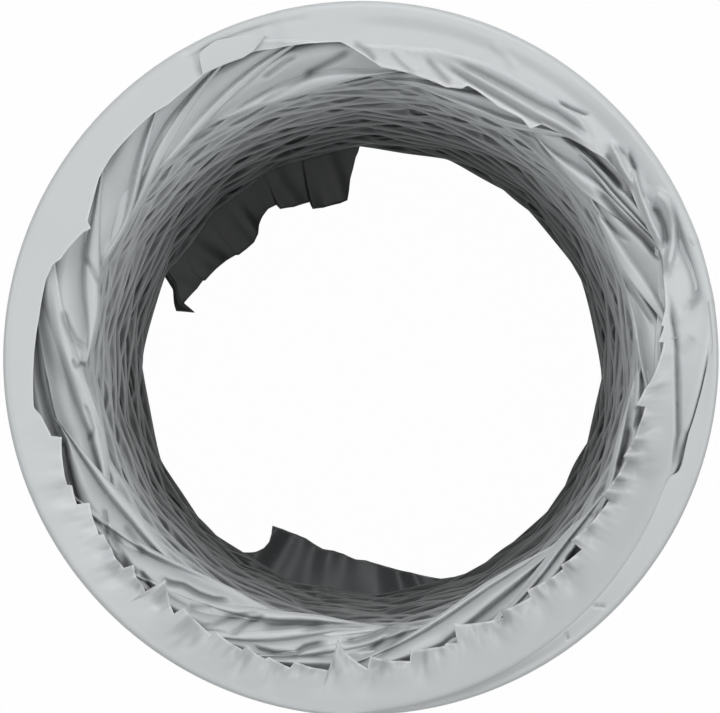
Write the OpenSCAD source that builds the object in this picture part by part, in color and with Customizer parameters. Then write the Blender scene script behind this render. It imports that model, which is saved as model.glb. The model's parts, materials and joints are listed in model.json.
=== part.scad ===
// Flexible air duct: a hose of thin PVC film with one spring wire wound into it.
// It is pressed together along its axis, so the film between the turns is folded
// inward and lines the bore with pleats. The duct stands on its far end, axis +Z.
//
// The wire is one unbroken helix, right handed, built from plane arcs. A turn runs
// level over y > 0 and climbs one pitch over y < 0, so it meets the next turn face
// to face at +x. The first and last turns get a level quarter more, which closes
// the ends of the spring square to the axis.

/* [Duct] */
// Pipe size that the duct slips over
nominal_bore = 125; // [80:1:160]
// Room between the duct and a pipe of that size, on the radius
pipe_clearance = 0.4; // [0.2:0.1:1.5]
// Turns of spring wire
turns = 18; // [6:1:18]
// Distance between turns while the duct is pressed together
pressed_pitch = 6; // [5:0.5:12]

/* [Wire and film] */
// Diameter of the spring wire
wire_d = 1.6; // [1:0.1:2]
// Thickness of the film
film_t = 0.3; // [0.2:0.05:0.4]
// Room between the wire and the seam that wraps it
wire_clearance = 0.05; // [0.03:0.01:0.1]
// Depth of the inward fold between two turns
pleat_depth = 12.5; // [8:0.5:20]
// Room between the folded film and the seam that it hangs from
pleat_clearance = 0.25; // [0.15:0.05:0.4]

/* [Near end] */
// Width of the film turned in over the last turn, where it is neatly cut
hem_w = 6; // [4:0.5:9]
// Width that it grows to where it is torn loose
hem_torn_w = 15; // [12:0.5:18]
// Angle from one torn tooth to the next
tooth_step = 5.5; // [4:0.5:8]
// Depth of the torn teeth
tooth_depth = 2.6; // [1:0.1:4]

/* [Far end] */
// Height of the straight sleeve that slips over the pipe
sleeve_h = 8; // [6:0.5:20]
// How far the torn flaps reach in from the pleats
flap_reach = 12.5; // [4:0.5:16]

/* [Hidden] */
$fn = 96;
// one turn's solids stop this far short of the next turn's
turn_gap = 0.1;
// joint between the halves of a turn
collar_rise = 0.03;
collar_w = 0.6;
// room between film pieces that lie on one another
lay_gap = 0.05;

seam_r = wire_d / 2 + wire_clearance + film_t;
ring_r = nominal_bore / 2 + pipe_clearance + seam_r;
outer_r = ring_r + seam_r;
climb_angle = atan(pressed_pitch / (2 * ring_r));
climb_scale = 1 / cos(climb_angle);
gap_angle = turn_gap / ring_r * 180 / PI;

sleeve_r = nominal_bore / 2 + pipe_clearance;
sleeve_top_drop = sqrt(pow(seam_r, 2) - pow(ring_r - sleeve_r - film_t, 2)) + lay_gap;
first_z = sleeve_h + sleeve_top_drop;

pleat_edge_r = ring_r - seam_r - pleat_clearance;
pleat_tip_r = pleat_edge_r - pleat_depth;
// neighbouring pleats hang from one seam, this far above and below its middle
pleat_edge_rise = film_t / 2 + pleat_clearance - lay_gap;

hem_z = turn_z(turns) + seam_r + lay_gap;
hem_start = 8;
hem_step = 8;
torn_start = 190;
torn_end = 335;
// share of the growth that the hem loses again past its widest place
hem_recover = 0.45;
spring_end = 270;
tail_start = 362;
tail_end = 412;
tail_w = 9;
tail_gap = 0.6;
tab_from = 106;
tab_to = 118;
tab_w = 3.6;
// where each torn flap begins and ends
flap_left = [95, 155];
flap_right = [236, 290];

flap_z = first_z - film_t - lay_gap - pleat_clearance;

function two(k) = k < 10 ? str("0", k) : str(k);
function turn_z(k) = first_z + (k - 1) * pressed_pitch;
function polar(r, a) = [r * cos(a), r * sin(a)];
// 0 below a, 1 above b, straight between
function ramp(x, a, b) = min(max((x - a) / (b - a), 0), 1);

// The helix's middle line, in turns from the first turn's start, to measure its gap.
function wire_point(s) =
    let (k = floor(s), a = 360 * (s - k), x = cos(a))
    [ring_r * x, ring_r * sin(a), turn_z(1 + k) + (a > 180 ? pressed_pitch * (1 + x) / 2 : 0)];
function end_point(a, z) = concat(polar(ring_r, a), [z]);
wire_samples = 72;
level_gap = min([for (i = [0:wire_samples - 1])
    norm(wire_point(1 + i / wire_samples) - wire_point(i / wire_samples))]) - wire_d;
// the closed ends lie nearest to their neighbour at the spring's last point
end_gap = norm(wire_point(turns - 2 + spring_end / 360) - end_point(spring_end, turn_z(turns))) - wire_d;
echo(least_wire_gap = min(level_gap, end_gap));

// Part of a level turn of a section that is drawn around the wire's middle.
module level_arc(from, sweep) {
    rotate_extrude(start = from, angle = sweep) translate([ring_r, 0]) children();
}

module climbing_half() {
    translate([0, 0, pressed_pitch / 2])
        rotate([0, -climb_angle, 0])
            rotate_extrude(start = 180, angle = 180 - gap_angle)
                translate([ring_r * climb_scale, 0])
                    children();
}

// One turn of a round rod. A short collar joins its level and climbing halves.
module turn(k, r) {
    last = k == turns;
    from = k == 1 ? spring_end - 360 : 0;
    to = last ? spring_end : 180;
    translate([0, 0, turn_z(k)]) {
        level_arc(from, to - from) circle(r = r);
        if (!last) {
            climbing_half() circle(r = r);
            translate([-ring_r, 0, 0]) rotate([90, 0, 0])
                cylinder(r = r + collar_rise, h = collar_w, center = true);
        }
    }
}

module wire_turn(k) {
    color("silver") turn(k, wire_d / 2);
}

// Both edges of the film strip lap here and hold the wire between them.
module seam(k) {
    color("gainsboro") difference() {
        turn(k, seam_r);
        turn(k, wire_d / 2 + wire_clearance);
    }
}

// The folded film's section, a V lying on its side, drawn around the wire's middle.
module pleat_section(half_h) {
    edge = pleat_edge_r - ring_r;
    tip = pleat_tip_r - ring_r;
    slope = half_h / (edge - tip);
    crook = edge - (half_h - film_t / 2) / slope;
    polygon([
        [edge, -half_h - film_t / 2], [tip, -film_t / 2], [tip, film_t / 2],
        [edge, half_h + film_t / 2], [edge, half_h - film_t / 2], [crook, 0],
        [edge, -half_h + film_t / 2]
    ]);
}

module pleat(k) {
    half_h = pressed_pitch / 2 - pleat_edge_rise;
    last_half_h = pressed_pitch / 4 - pleat_edge_rise;
    color("whitesmoke") translate([0, 0, turn_z(k) + pressed_pitch / 2]) {
        level_arc(0, 180) pleat_section(half_h);
        if (k < turns - 1)
            climbing_half() pleat_section(half_h);
        else
            // under the level end of the spring the space halves, so this fold is flatter
            translate([0, 0, pressed_pitch / 4])
                rotate([0, -climb_angle / 2, 0])
                    level_arc(180, spring_end - 180)
                        pleat_section(last_half_h);
    }
}

// Width of the turned-in film at an angle, and how far its outer edge has slipped in.
function hem_width(a) =
    hem_w + (hem_torn_w - hem_w) * (ramp(a, torn_start, torn_end) - hem_recover * ramp(a, torn_end, 360));
function hem_slip(a) = pleat_depth / 2 * pow(ramp(a, spring_end, 360), 1.2);

module near_hem() {
    teeth = floor((360 - torn_start) / tooth_step);
    outer = [for (a = [hem_start:hem_step:360]) polar(outer_r - hem_slip(a), a)];
    neat = [for (a = [hem_start:hem_step:torn_start]) polar(outer_r - hem_width(a), a)];
    // a torn tooth leans one way: it drops in at once, then its edge climbs back slowly
    torn = [for (i = [0:teeth - 1]) let (a = torn_start + i * tooth_step, r = outer_r - hem_width(a))
        each [polar(r - tooth_depth, a + tooth_step * 0.1), polar(r, a + tooth_step)]];
    inner = concat(neat, torn);
    inner_back = [for (i = [len(inner) - 1:-1:0]) inner[i]];
    color("gainsboro") translate([0, 0, hem_z]) linear_extrude(film_t) polygon(concat(outer, inner_back));
}

// The loose end of the film strip, rumpled inside the rim where the hem begins.
module near_tail() {
    from_r = outer_r - hem_w - tail_gap;
    steps = 24;
    span = tail_end - tail_start;
    function tail_angle(i) = tail_start + span * i / steps;
    outer = [for (i = [0:steps]) polar(from_r, tail_angle(i))];
    inner = [for (i = [steps:-1:0]) polar(from_r - tail_w * (1 - 0.4 * i / steps), tail_angle(i))];
    color("gainsboro") translate([0, 0, hem_z]) linear_extrude(film_t) polygon(concat(outer, inner));
}

// A torn corner of the hem, folded back over it.
module near_tab() {
    tab_r = outer_r - hem_w * 0.9;
    middle = (tab_from + tab_to) / 2;
    color("whitesmoke") translate([0, 0, hem_z + film_t + lay_gap]) linear_extrude(film_t) polygon([
        polar(tab_r, tab_from), polar(tab_r + tab_w * 0.55, tab_from + 1), polar(tab_r + tab_w, middle),
        polar(tab_r + tab_w * 0.8, tab_to), polar(tab_r - lay_gap, tab_to + 1)
    ]);
}

module far_sleeve() {
    color("gainsboro") difference() {
        cylinder(r = sleeve_r + film_t, h = sleeve_h);
        translate([0, 0, -1]) cylinder(r = sleeve_r, h = sleeve_h + 2);
    }
}

// Torn film that hangs from the first seam into the bore, widest at its middle.
module far_flap(span) {
    steps = 16;
    function flap_angle(i) = span[0] + (span[1] - span[0]) * i / steps;
    outer = [for (i = [0:steps]) polar(pleat_edge_r, flap_angle(i))];
    inner = [for (i = [steps:-1:0])
        polar(pleat_tip_r - flap_reach * sqrt(sin(180 * i / steps)), flap_angle(i))];
    color("dimgray") translate([0, 0, flap_z]) linear_extrude(film_t) polygon(concat(outer, inner));
}

module far_flap_left() { far_flap(flap_left); }
module far_flap_right() { far_flap(flap_right); }

for (k = [1:turns]) wire_turn(k);
for (k = [1:turns]) seam(k);
for (k = [1:turns - 1]) pleat(k);
near_hem();
near_tail();
near_tab();
far_sleeve();
far_flap_left();
far_flap_right();
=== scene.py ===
"""A flexible air duct of grey PVC film over a spring wire, pressed together along its axis.

The film between two turns of wire is folded inward, so the bore is lined with
overlapping swags. The near end (+Z) has its film turned in over the last turn.
Lengths below are in millimetres, and are turned to metres where a mesh is made.
"""

import json
import math
import bmesh
import bpy
import numpy as np
from mathutils import Matrix, Vector


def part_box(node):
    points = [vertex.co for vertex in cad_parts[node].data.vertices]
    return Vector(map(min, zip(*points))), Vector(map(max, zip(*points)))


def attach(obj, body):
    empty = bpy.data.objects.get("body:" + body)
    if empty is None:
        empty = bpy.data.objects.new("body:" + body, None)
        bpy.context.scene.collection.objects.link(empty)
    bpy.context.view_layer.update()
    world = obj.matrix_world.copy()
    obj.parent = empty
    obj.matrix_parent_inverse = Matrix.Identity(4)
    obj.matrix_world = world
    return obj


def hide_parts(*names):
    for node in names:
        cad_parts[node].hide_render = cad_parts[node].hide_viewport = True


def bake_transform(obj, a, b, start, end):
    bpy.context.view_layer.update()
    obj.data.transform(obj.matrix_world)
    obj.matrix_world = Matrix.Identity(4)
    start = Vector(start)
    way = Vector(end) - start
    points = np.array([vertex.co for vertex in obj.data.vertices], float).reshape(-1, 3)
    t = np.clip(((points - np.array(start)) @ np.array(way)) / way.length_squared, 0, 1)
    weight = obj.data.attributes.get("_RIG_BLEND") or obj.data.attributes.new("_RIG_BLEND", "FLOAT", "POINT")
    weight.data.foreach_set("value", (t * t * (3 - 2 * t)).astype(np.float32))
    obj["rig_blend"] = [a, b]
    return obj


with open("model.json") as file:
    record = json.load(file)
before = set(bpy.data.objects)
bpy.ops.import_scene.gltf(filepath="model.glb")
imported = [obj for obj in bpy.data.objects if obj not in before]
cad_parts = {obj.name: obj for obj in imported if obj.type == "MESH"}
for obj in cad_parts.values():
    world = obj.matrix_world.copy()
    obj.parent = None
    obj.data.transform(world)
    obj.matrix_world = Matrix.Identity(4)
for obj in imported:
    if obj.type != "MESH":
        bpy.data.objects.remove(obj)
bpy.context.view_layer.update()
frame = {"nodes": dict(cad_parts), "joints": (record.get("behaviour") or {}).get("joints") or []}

# metres in a millimetre
MM = 0.001

# ---------------------------------------------------------------- sizes from the frame
joints = {j["name"]: j for j in frame["joints"]}
TURNS = sum(name.startswith("seam_") for name in frame["nodes"])
BAYS = TURNS - 1
RING_R = joints["bend_01"]["pos_m"][0] / MM
PITCH = (joints["bend_02"]["pos_m"][2] - joints["bend_01"]["pos_m"][2]) / MM
FIRST_Z = joints["bend_01"]["pos_m"][2] / MM - PITCH
last_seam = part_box(f"seam_{TURNS:02d}")
SEAM_R = (last_seam[1][2] - last_seam[0][2]) / 2 / MM
SLEEVE_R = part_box("far_sleeve")[1][0] / MM
HEM_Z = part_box("near_hem")[0][2] / MM
FLAP_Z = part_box("far_flap_left")[0][2] / MM
OUTER_R = RING_R + SEAM_R
# azimuth at which the spring ends in its last turn; it starts one turn earlier in its first
SPRING_END = 270

# ---------------------------------------------------------------- sizes of the view
IMAGE_W = 720
# radii that the near rim and the far opening show
RIM_PX = 358
FAR_PX = 229
# the far opening shows this far right of the near one, and below it
FAR_SHIFT_PX = (12, 23)
VIEW_DISTANCE = 570.0
FOCAL_PX = RIM_PX * VIEW_DISTANCE / OUTER_R
BORE_LENGTH = BAYS * PITCH
# the line of sight leans this much for each millimetre of depth
SLANT_X = FAR_SHIFT_PX[0] * (VIEW_DISTANCE + BORE_LENGTH) / FOCAL_PX / BORE_LENGTH
SLANT_Y = FAR_SHIFT_PX[1] * (VIEW_DISTANCE + BORE_LENGTH) / FOCAL_PX / BORE_LENGTH

# about the millimetres that lie between reach 0, the rim, and reach 1, the far opening, at the hem
REACH_MM = 23.5

# ---------------------------------------------------------------- sizes of the film
# thickness, where a sheet shows both of its sides
FILM_T = 0.16
# depth of a fold inward of the wire's middle line, and the radius of its tip
PLEAT_DEPTH = 12.6
TIP_ROUND = 0.4
# the folds at the far end, pressed longest, reach this share further in
FAR_GAIN = 0.18
# the tip runs this share of the way from an arc to a straight chord between its pinches
CHORD_SHARE = 0.1
# the last two folds are pulled back under the hanging film
LAST_FOLDS_DEPTH = (0.78, 0.25)
# towards the far end the folds reach further in around this azimuth
SLACK_AZIMUTH = 275
SLACK_SPREAD = 70
SLACK_REACH = 4.6
# height above a turn at which its fold parts into a lower and an upper piece
FOLD_CUT = 4.2
# the film this near to a turn keeps to that turn
HOOP_HOLD = 0.6
# the folds lean round the ring, in degrees for each millimetre outward
LEAN_PER_MM = 1.5
WIRE_R = 0.8
# the edge where film rolls over the last turn: its radius and its top
RIM_ROUND = 1.2
RIM_TOP = HEM_Z + 0.12
# between its pinches a fold's tip swings inward and upward, with loose and fine waves
SWAG_IN = 0.75
SWAG_UP = 0.9
LOOSE_WAVES = 0.16
FINE_WAVES = 0.13
# small folds along the tip: their height and half width
SMALL_FOLD_RISE = 0.25
SMALL_FOLD_WIDTH = 0.22
SLEEVE_WAVES = 0.12
# painted shade of 1, which stands for the shade in folds and hollows, takes this share of the film's
# brightness
PAINTED_SHADE_DARKENING = 0.6
# height of the film's fine grain
GRAIN_HEIGHT = 0.02


def hoop(k):
    """The body that turn k of the wire belongs to."""
    return f"hoop_{k:02d}"


def fold(k):
    """The body of the fold above turn k."""
    return f"fold_{k:02d}"


def turn_z(k):
    """Height at which turn k starts."""
    return FIRST_Z + (k - 1) * PITCH


def climb(azimuth):
    """Share of a pitch that a turn has risen at an azimuth in degrees: level over +Y, rising over -Y."""
    a = np.mod(azimuth, 360.0)
    return np.where(a > 180.0, (1 + np.cos(np.radians(a))) / 2, 0.0)


def smooth(x, lo, hi):
    """0 below lo and 1 above hi, with a smooth rise between them."""
    t = np.clip((x - lo) / (hi - lo), 0, 1)
    return t * t * (3 - 2 * t)


def ripple(x, y, scale, seed):
    """A smooth random field from a few turned sine waves, about -1 to 1."""
    waves = 7
    rng = np.random.default_rng(seed)
    total = 0
    for _ in range(waves):
        turn, phase = rng.uniform(0, 2 * math.pi, 2)
        size = scale * rng.uniform(0.6, 1.7)
        total = total + np.sin((x * math.cos(turn) + y * math.sin(turn)) / size + phase)
    return total / waves ** 0.5 / 1.4


def ring_point(radius, azimuth, height):
    """A place on a ring around the duct's axis."""
    a = np.radians(azimuth)
    return np.stack([radius * np.cos(a), radius * np.sin(a), height + 0 * a], axis=-1)


def spot(azimuth, share, height):
    """A place in the open end, as one looks in: its share of the reach from the rim to the far opening."""
    depth = np.maximum(HEM_Z - height, 0)
    radius = RIM_PX - (RIM_PX - FAR_PX) * share
    scale = (VIEW_DISTANCE + depth) / FOCAL_PX
    a = np.radians(azimuth)
    x = (FAR_SHIFT_PX[0] * share + radius * np.cos(a)) * scale - SLANT_X * depth
    y = (radius * np.sin(a) - FAR_SHIFT_PX[1] * share) * scale + SLANT_Y * depth
    return np.stack([x, y, height + 0 * x], axis=-1)


def over_hem(azimuth, share, height):
    """Places right above or below those of the hem's own level."""
    points = spot(azimuth, share, np.full_like(height, HEM_Z))
    points[..., 2] = height
    return points


# ---------------------------------------------------------------- mesh helpers
def grid_mesh(name, points, marks, flip=False):
    """A mesh from a grid of points in millimetres. marks are attributes with a value for each point."""
    rows, cols = points.shape[:2]
    index = np.arange(rows * cols).reshape(rows, cols)
    quads = np.stack([index[:-1, :-1], index[:-1, 1:], index[1:, 1:], index[1:, :-1]], axis=-1)
    quads = quads.reshape(-1, 4)
    if flip:
        quads = quads[:, ::-1]
    mesh = bpy.data.meshes.new(name)
    mesh.vertices.add(rows * cols)
    mesh.vertices.foreach_set("co", (points.reshape(-1, 3) * MM).astype(np.float32).ravel())
    mesh.loops.add(quads.size)
    mesh.loops.foreach_set("vertex_index", quads.ravel().astype(np.int32))
    mesh.polygons.add(len(quads))
    mesh.polygons.foreach_set("loop_start", np.arange(0, quads.size, 4, dtype=np.int32))
    mesh.update(calc_edges=True)
    mesh.polygons.foreach_set("use_smooth", np.ones(len(quads), bool))
    for key, values in marks.items():
        layer = mesh.attributes.new(key, "FLOAT", "POINT")
        layer.data.foreach_set("value", np.broadcast_to(values, (rows, cols)).astype(np.float32).ravel())
    return mesh


def welded(mesh):
    """Joins the first and last columns of a closed ring."""
    work = bmesh.new()
    work.from_mesh(mesh)
    bmesh.ops.remove_doubles(work, verts=work.verts[:], dist=1e-7)
    work.to_mesh(mesh)
    work.free()
    return mesh


def add_object(name, mesh, material):
    """A piece of the scene, in one material."""
    piece = bpy.data.objects.new(name, mesh)
    bpy.context.scene.collection.objects.link(piece)
    mesh.materials.clear()
    mesh.materials.append(material)
    return piece


def thicken(piece):
    """Gives a sheet its film thickness, as a finished mesh."""
    wall = piece.modifiers.new("film", "SOLIDIFY")
    wall.thickness = FILM_T * MM
    wall.offset = 0
    bake_modifiers(piece)


def bake_modifiers(piece):
    """Makes the result of a piece's modifiers its own mesh."""
    graph = bpy.context.evaluated_depsgraph_get()
    graph.update()
    mesh = bpy.data.meshes.new_from_object(piece.evaluated_get(graph))
    piece.modifiers.clear()
    piece.data = mesh


# ---------------------------------------------------------------- node helpers
def feed(tree, node, inputs):
    """Sets a node's inputs, each to a value or to another node's output."""
    for key, value in inputs.items():
        if isinstance(value, bpy.types.NodeSocket):
            tree.links.new(value, node.inputs[key])
        else:
            node.inputs[key].default_value = value
    return node


def make_node(tree, kind, inputs):
    return feed(tree, tree.nodes.new(kind), inputs)


def math_node(tree, operation, *values):
    node = tree.nodes.new("ShaderNodeMath")
    node.operation = operation
    return feed(tree, node, dict(enumerate(values))).outputs[0]


def scaled(tree, vector, scale):
    node = tree.nodes.new("ShaderNodeVectorMath")
    node.operation = "SCALE"
    return feed(tree, node, {0: vector, "Scale": scale}).outputs["Vector"]


def mixed_colour(tree, factor, first, second):
    node = tree.nodes.new("ShaderNodeMix")
    node.data_type = "RGBA"
    return feed(tree, node, {"Factor": factor, 6: first, 7: second}).outputs[2]


def attribute(tree, name):
    node = tree.nodes.new("ShaderNodeAttribute")
    node.attribute_name = name
    return node.outputs["Fac"]


def noise(tree, place, scale, detail):
    node = make_node(tree, "ShaderNodeTexNoise", {"Vector": place, "Scale": scale, "Detail": detail})
    return node.outputs["Fac"]


def mapped(tree, value, low, high):
    """A value of 0 to 1 taken to low to high."""
    node = make_node(tree, "ShaderNodeMapRange", {"Value": value, "To Min": low, "To Max": high})
    return node.outputs["Result"]


# ---------------------------------------------------------------- materials
def film_marks_group():
    """Cloudy tone, painted shade in folds and hollows from the painted_shade attribute, fine grain and chalky
    torn edges of thin PVC film.
    """
    group = bpy.data.node_groups.new("Film marks", "ShaderNodeTree")
    for label, kind, value in (
        ("Colour", "NodeSocketColor", (0.6, 0.62, 0.63, 1)),
        ("Edge Colour", "NodeSocketColor", (0.8, 0.8, 0.8, 1)),
        ("Cloud Size", "NodeSocketFloat", 60.0), ("Cloud Strength", "NodeSocketFloat", 0.05),
        ("Grain Size", "NodeSocketFloat", 2500.0), ("Edge Strength", "NodeSocketFloat", 0.8),
    ):
        group.interface.new_socket(label, in_out="INPUT", socket_type=kind).default_value = value
    for label, kind in (
        ("Colour", "NodeSocketColor"), ("Roughness", "NodeSocketFloat"), ("Height", "NodeSocketFloat"),
    ):
        group.interface.new_socket(label, in_out="OUTPUT", socket_type=kind)
    given, made = group.nodes.new("NodeGroupInput").outputs, group.nodes.new("NodeGroupOutput")
    place = group.nodes.new("ShaderNodeTexCoord").outputs["Object"]
    cloud = noise(group, place, given["Cloud Size"], 3)
    shade = math_node(group, "MULTIPLY_ADD", cloud, given["Cloud Strength"], 0.97)
    # the painted_shade attribute darkens the film's colour: painted shade in folds, creases and hollows
    unshaded = math_node(group, "MULTIPLY_ADD", attribute(group, "painted_shade"), -PAINTED_SHADE_DARKENING, 1.0)
    tint = scaled(group, given["Colour"], math_node(group, "MULTIPLY", shade, unshaded))
    chalk = math_node(group, "MULTIPLY", attribute(group, "torn"), given["Edge Strength"])
    grain = noise(group, place, given["Grain Size"], 4)
    feed(group, made, {
        "Colour": mixed_colour(group, chalk, tint, given["Edge Colour"]),
        "Roughness": mapped(group, grain, 0.32, 0.46),
        "Height": grain,
    })
    return group


def film_material(name, colour, group, edge_strength=0.8):
    """Satin film of one colour, with the group's marks."""
    material = bpy.data.materials.new(name)
    material.use_nodes = True
    tree = material.node_tree
    marks = tree.nodes.new("ShaderNodeGroup")
    marks.node_tree = group
    feed(tree, marks, {"Colour": (*colour, 1), "Edge Strength": edge_strength})
    bump = make_node(tree, "ShaderNodeBump", {
        "Height": marks.outputs["Height"], "Distance": GRAIN_HEIGHT * MM, "Strength": 0.6,
    })
    feed(tree, tree.nodes["Principled BSDF"], {
        "Base Color": marks.outputs["Colour"], "Roughness": marks.outputs["Roughness"],
        "Normal": bump.outputs["Normal"], "IOR": 1.45, "Specular IOR Level": 0.5,
    })
    return material


def wire_material():
    """Bright drawn spring wire, a little uneven in tone."""
    material = bpy.data.materials.new("spring_wire")
    material.use_nodes = True
    tree = material.node_tree
    place = tree.nodes.new("ShaderNodeTexCoord").outputs["Object"]
    mottling = noise(tree, place, 900, 3)
    feed(tree, tree.nodes["Principled BSDF"], {
        "Base Color": mixed_colour(tree, mottling, (0.42, 0.42, 0.43, 1), (0.6, 0.6, 0.61, 1)),
        "Roughness": mapped(tree, mottling, 0.22, 0.42), "Metallic": 1,
    })
    return material


FILM_COLOUR = (0.60, 0.625, 0.635)
# a darker copy of the film colour: painted shade for the flaps deep in the bore
SHADED_FLAP_COLOUR = (0.33, 0.345, 0.355)
film_group = film_marks_group()
seam_film = film_material("seam_film", FILM_COLOUR, film_group)
pleat_film = film_material("pleat_film", FILM_COLOUR, film_group)
hem_film = film_material("hem_film", FILM_COLOUR, film_group)
flap_film = film_material("flap_film", SHADED_FLAP_COLOUR, film_group, edge_strength=0.3)
steel = wire_material()


# ---------------------------------------------------------------- wound wire and its seam
def wound_tube_tree():
    """Geometry Nodes: a tube along part of a turn, level or climbing one pitch over its second half."""
    tree = bpy.data.node_groups.new("Wound tube", "GeometryNodeTree")
    for label, kind, value in (
        ("Geometry", "NodeSocketGeometry", None), ("Ring Radius", "NodeSocketFloat", 0.064),
        ("Tube Radius", "NodeSocketFloat", 0.001), ("From Angle", "NodeSocketFloat", 0.0),
        ("To Angle", "NodeSocketFloat", 3.14), ("Height", "NodeSocketFloat", 0.0),
        ("Climb", "NodeSocketFloat", 0.0), ("Rings", "NodeSocketInt", 90), ("Sides", "NodeSocketInt", 12),
        ("Crinkle", "NodeSocketFloat", 0.0), ("Material", "NodeSocketMaterial", None),
    ):
        socket = tree.interface.new_socket(label, in_out="INPUT", socket_type=kind)
        if value is not None:
            socket.default_value = value
    tree.interface.new_socket("Geometry", in_out="OUTPUT", socket_type="NodeSocketGeometry")
    given, made = tree.nodes.new("NodeGroupInput").outputs, tree.nodes.new("NodeGroupOutput")

    def result(kind, inputs):
        return make_node(tree, kind, inputs).outputs[0]

    line = result("GeometryNodeCurvePrimitiveLine", {})
    rings = result("GeometryNodeResampleCurve", {"Curve": line, "Count": given["Rings"]})
    along = tree.nodes.new("GeometryNodeSplineParameter").outputs["Factor"]
    sweep = math_node(tree, "SUBTRACT", given["To Angle"], given["From Angle"])
    angle = math_node(tree, "MULTIPLY_ADD", along, sweep, given["From Angle"])
    cosine = math_node(tree, "COSINE", angle)
    rise = math_node(tree, "MULTIPLY", math_node(tree, "MULTIPLY_ADD", cosine, 0.5, 0.5), given["Climb"])
    place = result("ShaderNodeCombineXYZ", {
        "X": math_node(tree, "MULTIPLY", cosine, given["Ring Radius"]),
        "Y": math_node(tree, "MULTIPLY", math_node(tree, "SINE", angle), given["Ring Radius"]),
        "Z": math_node(tree, "ADD", rise, given["Height"]),
    })
    bent = result("GeometryNodeSetPosition", {"Geometry": rings, "Position": place})
    profile = result("GeometryNodeCurvePrimitiveCircle", {
        "Resolution": given["Sides"], "Radius": given["Tube Radius"],
    })
    tube = result("GeometryNodeCurveToMesh", {"Curve": bent, "Profile Curve": profile, "Fill Caps": True})
    crumple = result("ShaderNodeTexNoise", {"Scale": 420, "Detail": 2})
    push = math_node(tree, "MULTIPLY", math_node(tree, "SUBTRACT", crumple, 0.5), given["Crinkle"])
    normal = tree.nodes.new("GeometryNodeInputNormal").outputs[0]
    crinkled = result("GeometryNodeSetPosition", {"Geometry": tube, "Offset": scaled(tree, normal, push)})
    shaded = result("GeometryNodeSetShadeSmooth", {"Geometry": crinkled})
    real = result("GeometryNodeRealizeInstances", {"Geometry": shaded})
    coated = result("GeometryNodeSetMaterial", {"Geometry": real, "Material": given["Material"]})
    feed(tree, made, {"Geometry": coated})
    return tree


def wound_tube(tree, name, radius, start, end, height, rising, material, crinkle, sides):
    """A finished piece of wire or seam between two azimuths."""
    piece = bpy.data.objects.new(name, bpy.data.meshes.new(name))
    bpy.context.scene.collection.objects.link(piece)
    coil = piece.modifiers.new("coil", "NODES")
    coil.node_group = tree
    values = {
        "Ring Radius": RING_R * MM, "Tube Radius": radius * MM, "From Angle": math.radians(start),
        "To Angle": math.radians(end), "Height": height * MM, "Climb": PITCH * MM if rising else 0.0,
        "Rings": max(int(abs(end - start) / 2), 8), "Sides": sides, "Crinkle": crinkle * MM,
        "Material": material,
    }
    for item in tree.interface.items_tree:
        if item.in_out == "INPUT" and item.name in values:
            coil[item.identifier] = values[item.name]
    bake_modifiers(piece)
    piece.data.name = name
    return piece


def plane_x(rise):
    """Where along X a climbing half turn has risen this far above its start."""
    return -RING_R + 2 * RING_R * rise / PITCH


def blend_climb(piece, k, low):
    """A climbing quarter of turn k follows its own hoop at -X and the next hoop at +X."""
    if low:
        start, end = plane_x(HOOP_HOLD), plane_x(FOLD_CUT)
        bodies = hoop(k), fold(k)
    else:
        start, end = plane_x(FOLD_CUT), plane_x(PITCH - HOOP_HOLD)
        bodies = fold(k), hoop(k + 1)
    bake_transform(piece, *bodies, start=(start * MM, 0, 0), end=(end * MM, 0, 0))


def make_winding(tree, kind, radius, material, node, crinkle, sides):
    """The wire or its seam: a level stretch and two climbing stretches for each turn."""
    split = math.degrees(math.acos(plane_x(FOLD_CUT) / RING_R))
    for k in range(1, TURNS + 1):
        first, last = k == 1, k == TURNS
        start = SPRING_END - 360 if first else 0
        end = SPRING_END if last else 180
        level = wound_tube(tree, f"{kind}_level_{k:02d}", radius, start, end, turn_z(k), False,
                           material, crinkle, sides)
        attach(level, hoop(k))
        if not last:
            for low, part, a, b in ((True, "low", 180, 360 - split), (False, "high", 360 - split, 360)):
                quarter = wound_tube(tree, f"{kind}_climb_{part}_{k:02d}", radius, a, b, turn_z(k), True,
                                     material, crinkle, sides)
                blend_climb(quarter, k, low)
        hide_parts(node.format(k))


tube_tree = wound_tube_tree()
make_winding(tube_tree, "wire", WIRE_R, steel, "wire_turn_{:02d}", crinkle=0.0, sides=10)
make_winding(tube_tree, "seam", SEAM_R, seam_film, "seam_{:02d}", crinkle=0.16, sides=14)


# ---------------------------------------------------------------- folded film
class Swags:
    """Where the folds of the film are pinched, along the unrolled azimuth in degrees."""

    START = SPRING_END - 360
    END = 360 * BAYS
    SPARE = 60
    DROP = 0.4

    def __init__(self, spacing, seed, reach):
        rng = np.random.default_rng(seed)
        knots = [float(self.START - self.SPARE)]
        while knots[-1] < self.END + self.SPARE:
            knots.append(knots[-1] + rng.uniform(*spacing))
        self.knots = np.array(knots)
        self.reach = rng.normal(0, reach, len(knots))
        self.drop = rng.uniform(-self.DROP, self.DROP, len(knots))

    def at(self, azimuth):
        """(share of the way between two knots, swag width, reach, drop) at an azimuth."""
        j = np.clip(np.searchsorted(self.knots, azimuth) - 1, 1, len(self.knots) - 3)
        width = self.knots[j + 1] - self.knots[j]
        share = (azimuth - self.knots[j]) / width
        before = smooth(share, -0.12, 0.12)
        after = smooth(share, 0.88, 1.12)

        def joined(values):
            mid = values[j - 1] + (values[j] - values[j - 1]) * before
            return mid + (values[j + 1] - mid) * after

        return share, width, joined(self.reach), joined(self.drop)


def fold_columns(start, end, step=0.62):
    """Evenly spaced azimuths for the columns of a film grid."""
    count = int(round((end - start) / step))
    return np.linspace(start, end, count + 1)


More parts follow.
